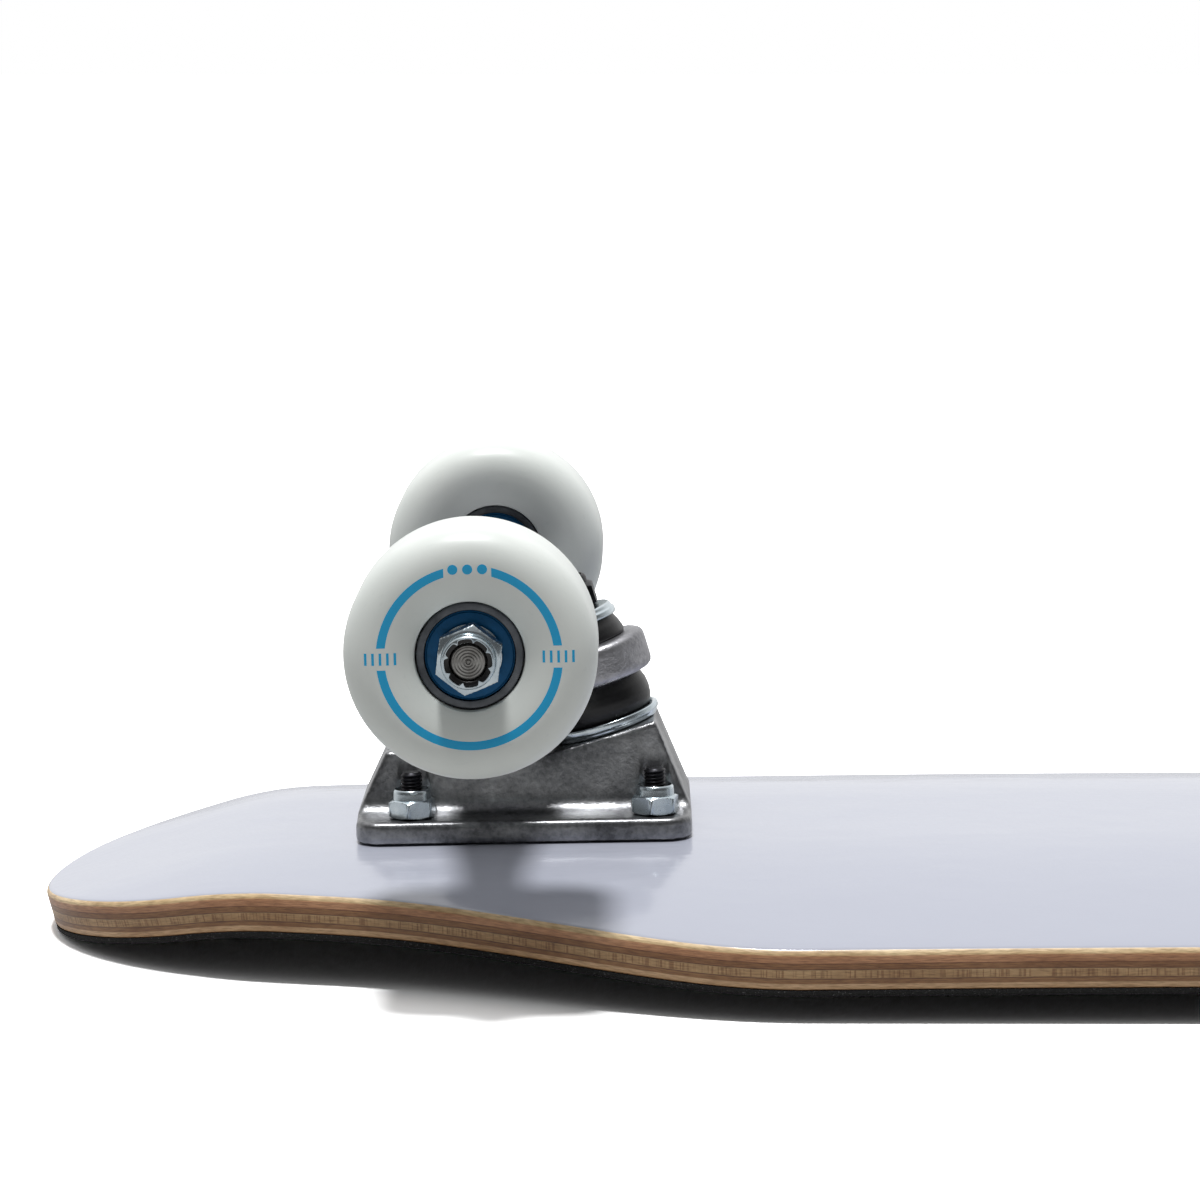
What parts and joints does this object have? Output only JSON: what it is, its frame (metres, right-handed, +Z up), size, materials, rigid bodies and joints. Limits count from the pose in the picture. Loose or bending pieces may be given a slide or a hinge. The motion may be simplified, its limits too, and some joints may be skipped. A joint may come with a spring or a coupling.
{
  "type": "skateboard",
  "caption": "Small cruiser skateboard lying upside down: kicked and concave plywood deck with grip tape, two steering trucks and four free-spinning wheels.",
  "frame": {"origin": "middle of the bounding box, on the ground that the upside-down board lies on", "axes": "+X along the board from nose to tail, +Y to the right side as seen from the tail with the wheels up, +Z up from the grip side to the wheels"},
  "size_m": [0.6722, 0.2056, 0.102],
  "materials": {
    "maple_lacquer": "glossy pale lacquer over maple plies",
    "grip": "gritty, matte",
    "cast_aluminium": "satin cast",
    "zinc_plate": "bright zinc plate",
    "black_steel": "black oxide",
    "axle_steel": "turned steel",
    "bushing_urethane": "smooth satin",
    "wheel_urethane": "smooth satin urethane",
    "bearing_steel": "ground steel with a blue shield"
  },
  "bodies": {
    "deck": {"deck": "maple_lacquer", "grip_tape": "grip", "front_baseplate": "cast_aluminium", "front_pivot_cup": "bushing_urethane", "front_kingpin": "black_steel", "front_lower_washer": "zinc_plate", "front_lower_bushing": "bushing_urethane", "front_upper_bushing": "bushing_urethane", "front_upper_washer": "zinc_plate", "front_kingpin_nut": "black_steel", "front_bolt_outer_left": "black_steel", "front_nut_outer_left": "zinc_plate", "front_bolt_inner_left": "black_steel", "front_nut_inner_left": "zinc_plate", "front_bolt_outer_right": "black_steel", "front_nut_outer_right": "zinc_plate", "front_bolt_inner_right": "black_steel", "front_nut_inner_right": "zinc_plate", "rear_baseplate": "cast_aluminium", "rear_pivot_cup": "bushing_urethane", "rear_kingpin": "black_steel", "rear_lower_washer": "zinc_plate", "rear_lower_bushing": "bushing_urethane", "rear_upper_bushing": "bushing_urethane", "rear_upper_washer": "zinc_plate", "rear_kingpin_nut": "black_steel", "rear_bolt_outer_left": "black_steel", "rear_nut_outer_left": "zinc_plate", "rear_bolt_inner_left": "black_steel", "rear_nut_inner_left": "zinc_plate", "rear_bolt_outer_right": "black_steel", "rear_nut_outer_right": "zinc_plate", "rear_bolt_inner_right": "black_steel", "rear_nut_inner_right": "zinc_plate"},
    "front_left_wheel": {"front_left_wheel": "wheel_urethane", "front_left_inner_bearing": "bearing_steel", "front_left_outer_bearing": "bearing_steel"},
    "front_right_wheel": {"front_right_wheel": "wheel_urethane", "front_right_inner_bearing": "bearing_steel", "front_right_outer_bearing": "bearing_steel"},
    "front_hanger": {"front_hanger": "cast_aluminium", "front_axle": "axle_steel", "front_left_spacer": "axle_steel", "front_left_axle_nut": "zinc_plate", "front_right_spacer": "axle_steel", "front_right_axle_nut": "zinc_plate"},
    "rear_left_wheel": {"rear_left_wheel": "wheel_urethane", "rear_left_inner_bearing": "bearing_steel", "rear_left_outer_bearing": "bearing_steel"},
    "rear_right_wheel": {"rear_right_wheel": "wheel_urethane", "rear_right_inner_bearing": "bearing_steel", "rear_right_outer_bearing": "bearing_steel"},
    "rear_hanger": {"rear_hanger": "cast_aluminium", "rear_axle": "axle_steel", "rear_left_spacer": "axle_steel", "rear_left_axle_nut": "zinc_plate", "rear_right_spacer": "axle_steel", "rear_right_axle_nut": "zinc_plate"}
  },
  "joints": [
    {"name": "front_truck_turn", "type": "hinge", "parent": "deck", "child": "front_hanger", "pos_m": [-0.21394, 0, 0.05976], "axis": [0.8279, 0, 0.5608], "range_deg": [-12, 12], "stiffness_Nm_per_rad": 40, "deforming": ["front_lower_bushing", "front_upper_bushing"]},
    {"name": "front_left_wheel_spin", "type": "hinge", "parent": "front_hanger", "child": "front_left_wheel", "pos_m": [-0.23596, -0.081, 0.07604], "axis": [0, 1, 0], "continuous": true},
    {"name": "front_right_wheel_spin", "type": "hinge", "parent": "front_hanger", "child": "front_right_wheel", "pos_m": [-0.23596, 0.081, 0.07604], "axis": [0, 1, 0], "continuous": true},
    {"name": "rear_truck_turn", "type": "hinge", "parent": "deck", "child": "rear_hanger", "pos_m": [0.17421, 0, 0.05976], "axis": [-0.8279, 0, 0.5608], "range_deg": [-12, 12], "stiffness_Nm_per_rad": 40, "deforming": ["rear_lower_bushing", "rear_upper_bushing"]},
    {"name": "rear_left_wheel_spin", "type": "hinge", "parent": "rear_hanger", "child": "rear_left_wheel", "pos_m": [0.19623, -0.081, 0.07604], "axis": [0, 1, 0], "continuous": true},
    {"name": "rear_right_wheel_spin", "type": "hinge", "parent": "rear_hanger", "child": "rear_right_wheel", "pos_m": [0.19623, 0.081, 0.07604], "axis": [0, 1, 0], "continuous": true}
  ]
}
